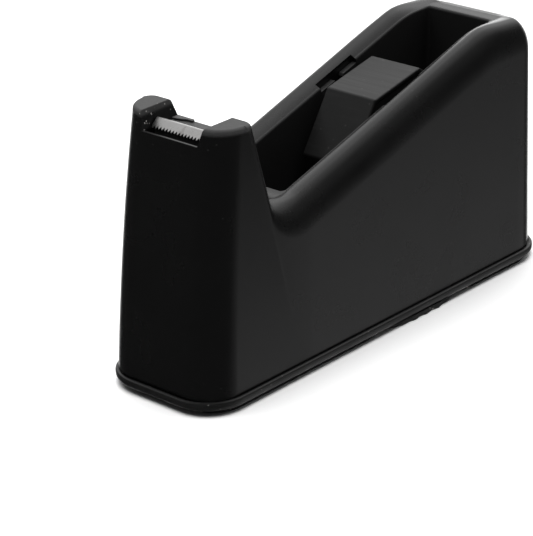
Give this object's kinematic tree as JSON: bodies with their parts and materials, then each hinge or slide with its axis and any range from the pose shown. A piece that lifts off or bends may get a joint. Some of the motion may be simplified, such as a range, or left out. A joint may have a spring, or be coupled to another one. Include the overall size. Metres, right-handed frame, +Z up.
{
  "type": "tape dispenser",
  "caption": "Weighted desk tape dispenser: open wedge-shaped well, lift-out eight-sided core hub on an axle pin, serrated blade between two ears.",
  "frame": {"origin": "middle of the underside of the foam pad, on the table", "axes": "+X along the length towards the rear, the blade end at -X; +Y across; +Z up"},
  "size_m": [0.213, 0.062, 0.1112],
  "materials": {
    "shell_plastic": "glossy black moulded ABS with fine handling scratches",
    "base_plastic": "satin black moulded plastic",
    "foam": "matte black EVA foam, cut edge",
    "ballast": "rough cast",
    "screw_steel": "zinc plated",
    "seat_plastic": "fine matte black",
    "blade_steel": "bright rolled strip with ground teeth",
    "cradle_plastic": "matte black",
    "pin_steel": "drawn steel wire",
    "hub_plastic": "satin black, lightly scuffed by cores"
  },
  "bodies": {
    "base": {"housing": "shell_plastic", "base_plate": "base_plastic", "foam_pad": "foam", "ballast_block": "ballast", "base_screws": "screw_steel", "blade_seat": "seat_plastic", "cutter_blade": "blade_steel", "axle_cradle_left": "cradle_plastic", "axle_cradle_right": "cradle_plastic"},
    "axle": {"axle_pin": "pin_steel"},
    "hub": {"hub_drum": "hub_plastic", "hub_cap": "hub_plastic"}
  },
  "joints": [
    {"name": "axle_lift_out", "type": "slide", "parent": "base", "child": "axle", "axis": [-0.2849, 0, 0.9586], "range_m": [0, 0.085]},
    {"name": "hub_spin", "type": "hinge", "parent": "axle", "child": "hub", "pos_m": [0.0339, 0, 0.0611], "axis": [0, 1, 0], "continuous": true}
  ]
}
